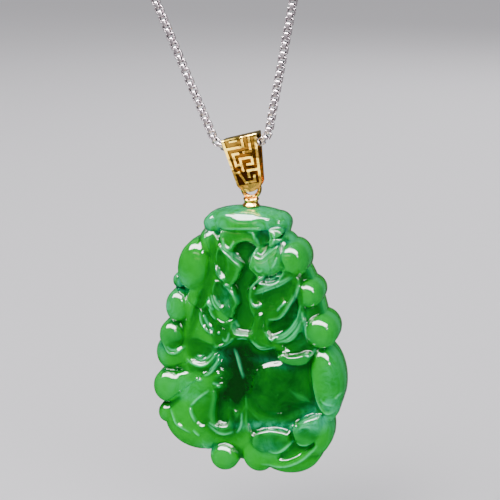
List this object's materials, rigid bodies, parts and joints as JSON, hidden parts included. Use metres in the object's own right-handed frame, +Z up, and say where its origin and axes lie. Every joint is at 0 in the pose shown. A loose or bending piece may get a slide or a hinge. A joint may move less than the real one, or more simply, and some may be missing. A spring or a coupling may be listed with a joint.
{
  "type": "jade pendant necklace",
  "caption": "Oval carved green jade pendant with a canopy top and beaded rim, on a tapered gold meander bail with eye and cup, on a fine box chain.",
  "frame": {"origin": "inner side of the top of the chain's loop, where the chain lies on a neck", "axes": "+Z up along the hanging length, -Y towards the viewer of the carved face, +X to that viewer's right"},
  "size_m": [0.1023, 0.0084, 0.262],
  "materials": {
    "jade": "polished",
    "gold": "polished",
    "white_metal": "polished"
  },
  "bodies": {
    "necklace": {"chain": "white_metal", "clasp": "white_metal"},
    "bail": {"bail": "gold"},
    "drop": {"eye_cup": "gold", "jade": "jade"}
  },
  "joints": [
    {"name": "bail_swing", "type": "hinge", "parent": "necklace", "child": "bail", "pos_m": [0.01831, 0, -0.20931], "axis": [0.9848, 0, 0.1736], "range_deg": [-75, 75]},
    {"name": "drop_swing", "type": "hinge", "parent": "bail", "child": "drop", "pos_m": [0.01959, 0, -0.21532], "axis": [0, 1, 0], "range_deg": [-45, 45]}
  ]
}
